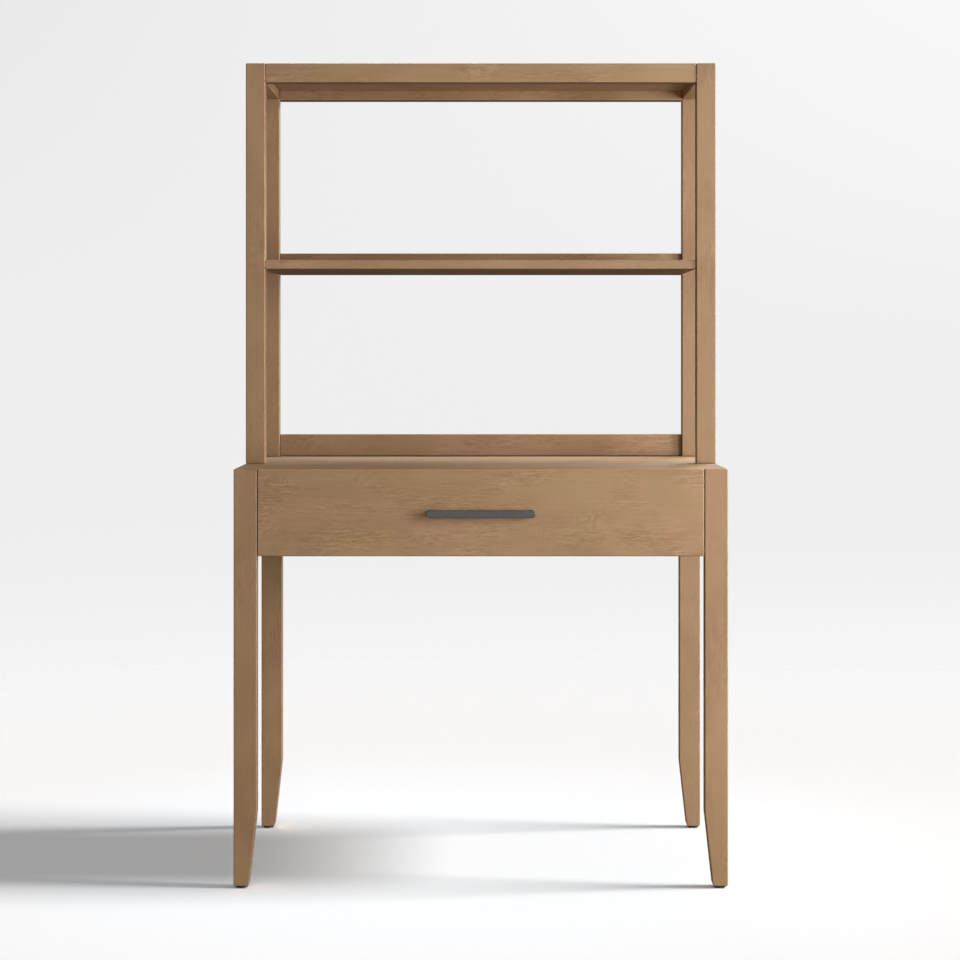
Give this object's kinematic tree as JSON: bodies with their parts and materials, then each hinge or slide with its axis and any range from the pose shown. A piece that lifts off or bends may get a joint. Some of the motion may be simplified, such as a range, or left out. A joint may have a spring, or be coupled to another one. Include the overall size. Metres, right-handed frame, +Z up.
{
  "type": "student desk with hutch",
  "caption": "Narrow wooden writing desk with tapered feet, a full-width drawer with a bar pull, and an open shelf hutch standing on its top.",
  "frame": {"origin": "on the floor, under the middle of the box round the whole object, with its pull", "axes": "+Z up, -Y towards the person at the desk (the drawer opens along -Y), +X to the right seen from the front"},
  "size_m": [0.9144, 0.639, 1.554],
  "materials": {
    "stained_wood": "light brown stain under a low-sheen clear lacquer, fine even grain",
    "drawer_birch": "clear-finished solid birch with dovetailed corners",
    "drawer_ply": "clear-finished birch plywood panel",
    "block_softwood": "bare planed softwood",
    "dowel_beech": "bare beech pins",
    "pull_gunmetal": "satin gunmetal finish",
    "slide_zinc": "bright zinc-plated rolled steel",
    "ball_steel": "polished steel balls in a plated strip",
    "plate_zinc": "dull zinc-plated sheet steel",
    "screw_steel": "zinc-plated screws, bolts and nuts",
    "glide_nylon": "black moulded nylon",
    "bumper_rubber": "soft translucent grey bumper"
  },
  "bodies": {
    "root": {"back_apron": "stained_wood", "cabinet_slide_screws": "screw_steel", "corner_bolts": "screw_steel", "desk_dowels": "dowel_beech", "desk_top": "stained_wood", "front_left_glide": "glide_nylon", "front_left_leg": "stained_wood", "front_left_post": "stained_wood", "front_right_glide": "glide_nylon", "front_right_leg": "stained_wood", "front_right_post": "stained_wood", "front_stretcher": "stained_wood", "hutch_bolts": "screw_steel", "hutch_dowels": "dowel_beech", "hutch_shelf": "stained_wood", "hutch_top_panel": "stained_wood", "left_apron": "stained_wood", "left_slide_block": "block_softwood", "left_slide_cabinet_member": "slide_zinc", "locating_dowels": "dowel_beech", "lower_back_strip": "stained_wood", "rear_left_corner_block": "block_softwood", "rear_left_glide": "glide_nylon", "rear_left_leg": "stained_wood", "rear_left_post": "stained_wood", "rear_right_corner_block": "block_softwood", "rear_right_glide": "glide_nylon", "rear_right_leg": "stained_wood", "rear_right_post": "stained_wood", "right_apron": "stained_wood", "right_slide_block": "block_softwood", "right_slide_cabinet_member": "slide_zinc", "shelf_back_strip": "stained_wood", "tie_plate_screws": "screw_steel", "tie_plates": "plate_zinc", "top_bracket_screws": "screw_steel", "top_brackets": "plate_zinc", "top_front_rail": "stained_wood", "top_left_rail": "stained_wood", "top_rear_rail": "stained_wood", "top_right_rail": "stained_wood"},
    "drawer": {"drawer_front": "stained_wood", "drawer_box_front": "drawer_birch", "drawer_box_back": "drawer_birch", "drawer_bottom": "drawer_ply", "drawer_left_side": "drawer_birch", "drawer_right_side": "drawer_birch", "drawer_pull": "pull_gunmetal", "pull_screws": "screw_steel", "drawer_front_screws": "screw_steel", "drawer_bumpers": "bumper_rubber", "drawer_slide_screws": "screw_steel", "left_slide_drawer_member": "slide_zinc", "right_slide_drawer_member": "slide_zinc"},
    "left_slide_middle": {"left_slide_middle_member": "slide_zinc"},
    "left_outer_cage": {"left_outer_ball_cage": "ball_steel"},
    "left_inner_cage": {"left_inner_ball_cage": "ball_steel"},
    "right_slide_middle": {"right_slide_middle_member": "slide_zinc"},
    "right_outer_cage": {"right_outer_ball_cage": "ball_steel"},
    "right_inner_cage": {"right_inner_ball_cage": "ball_steel"}
  },
  "joints": [
    {"name": "drawer_slide", "type": "slide", "parent": "root", "child": "drawer", "axis": [0, -1, 0], "range_m": [0, 0.44]},
    {"name": "left_slide_middle_travel", "type": "slide", "parent": "root", "child": "left_slide_middle", "axis": [0, -1, 0], "range_m": [0, 0.22]},
    {"name": "left_outer_cage_travel", "type": "slide", "parent": "root", "child": "left_outer_cage", "axis": [0, -1, 0], "range_m": [0, 0.11]},
    {"name": "left_inner_cage_travel", "type": "slide", "parent": "root", "child": "left_inner_cage", "axis": [0, -1, 0], "range_m": [0, 0.33]},
    {"name": "right_slide_middle_travel", "type": "slide", "parent": "root", "child": "right_slide_middle", "axis": [0, -1, 0], "range_m": [0, 0.22]},
    {"name": "right_outer_cage_travel", "type": "slide", "parent": "root", "child": "right_outer_cage", "axis": [0, -1, 0], "range_m": [0, 0.11]},
    {"name": "right_inner_cage_travel", "type": "slide", "parent": "root", "child": "right_inner_cage", "axis": [0, -1, 0], "range_m": [0, 0.33]}
  ],
  "couplings": [
    {"joint": "left_slide_middle_travel", "follows": "drawer_slide", "ratio": 0.5},
    {"joint": "left_outer_cage_travel", "follows": "drawer_slide", "ratio": 0.25},
    {"joint": "left_inner_cage_travel", "follows": "drawer_slide", "ratio": 0.75},
    {"joint": "right_slide_middle_travel", "follows": "drawer_slide", "ratio": 0.5},
    {"joint": "right_outer_cage_travel", "follows": "drawer_slide", "ratio": 0.25},
    {"joint": "right_inner_cage_travel", "follows": "drawer_slide", "ratio": 0.75}
  ]
}
